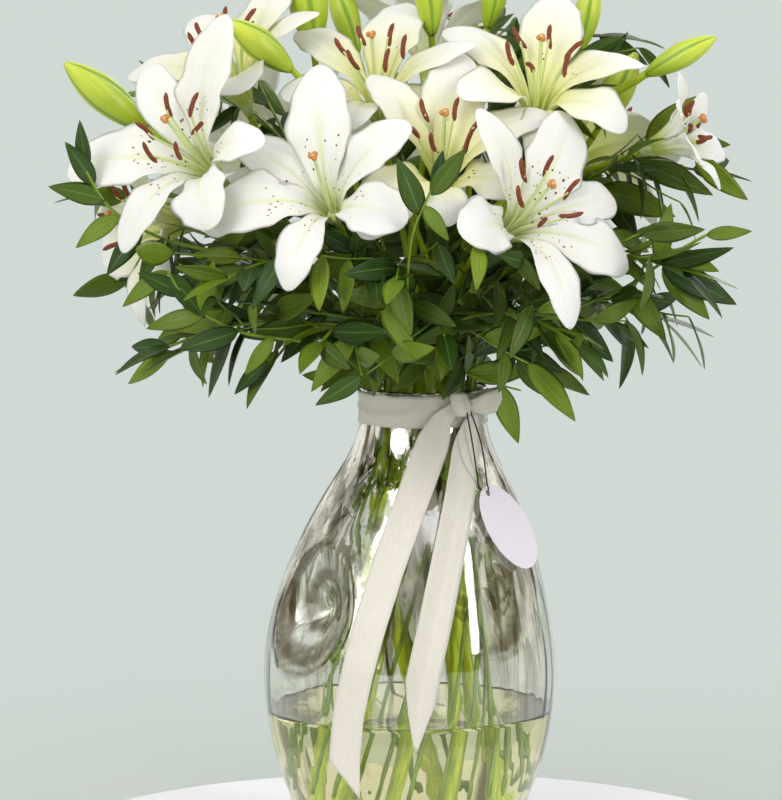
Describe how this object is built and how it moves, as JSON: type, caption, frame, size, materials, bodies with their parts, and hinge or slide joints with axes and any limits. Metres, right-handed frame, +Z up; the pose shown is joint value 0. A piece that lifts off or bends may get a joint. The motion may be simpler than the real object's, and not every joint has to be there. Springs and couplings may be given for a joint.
{
  "type": "lilies in a vase",
  "caption": "Bouquet of white lilies, buds and ruscus foliage standing in water in a clear pinched glass vase, with a satin ribbon and a hanging card tag.",
  "frame": {"origin": "centre of the vase's flat foot", "axes": "+Z up, -Y the front that the ribbon's tails hang on, +X to the right seen from the front"},
  "size_m": [0.524, 0.4116, 0.6744],
  "materials": {
    "glass": "gloss",
    "water": "gloss",
    "ribbon": "satin",
    "card": "matte",
    "string": "matte",
    "stem": "satin",
    "bud": "satin",
    "petal": "matte",
    "leaf": "satin"
  },
  "bodies": {
    "root": {"vase": "glass", "water": "water", "ribbon_band": "ribbon", "ribbon_knot": "ribbon", "ribbon_loop": "ribbon", "ribbon_tail_long": "ribbon", "ribbon_tail_short": "ribbon", "tag": "card", "tag_cord": "string", "lily_stem_1": "stem", "lily_stem_2": "stem", "lily_stem_3": "stem", "lily_stem_4": "stem", "lily_stem_5": "stem", "lily_stem_6": "stem", "lily_stem_7": "stem", "lily_stem_8": "stem", "lily_bud_01": "bud", "lily_bud_02": "bud", "lily_bud_03": "bud", "lily_bud_04": "bud", "lily_bud_05": "bud", "lily_bud_06": "bud", "lily_bud_07": "bud", "lily_bud_08": "bud", "lily_bud_09": "bud", "lily_bloom_01": "petal", "lily_bloom_02": "petal", "lily_bloom_03": "petal", "lily_bloom_04": "petal", "lily_bloom_05": "petal", "lily_bloom_06": "petal", "lily_bloom_07": "petal", "lily_bloom_08": "petal", "lily_bloom_09": "petal", "lily_bloom_10": "petal", "lily_bloom_11": "petal", "lily_bloom_12": "petal", "lily_bloom_13": "petal", "ruscus_branch_01": "leaf", "ruscus_branch_02": "leaf", "ruscus_branch_03": "leaf", "ruscus_branch_04": "leaf", "ruscus_branch_05": "leaf", "ruscus_branch_06": "leaf", "ruscus_branch_07": "leaf", "ruscus_branch_08": "leaf", "ruscus_branch_09": "leaf", "ruscus_branch_10": "leaf", "ruscus_branch_11": "leaf", "ruscus_branch_12": "leaf", "ruscus_branch_13": "leaf", "ruscus_branch_14": "leaf", "ruscus_branch_15": "leaf", "ruscus_branch_16": "leaf", "ruscus_branch_17": "leaf", "ruscus_branch_18": "leaf", "ruscus_branch_19": "leaf", "ruscus_branch_20": "leaf"}
  },
  "joints": []
}
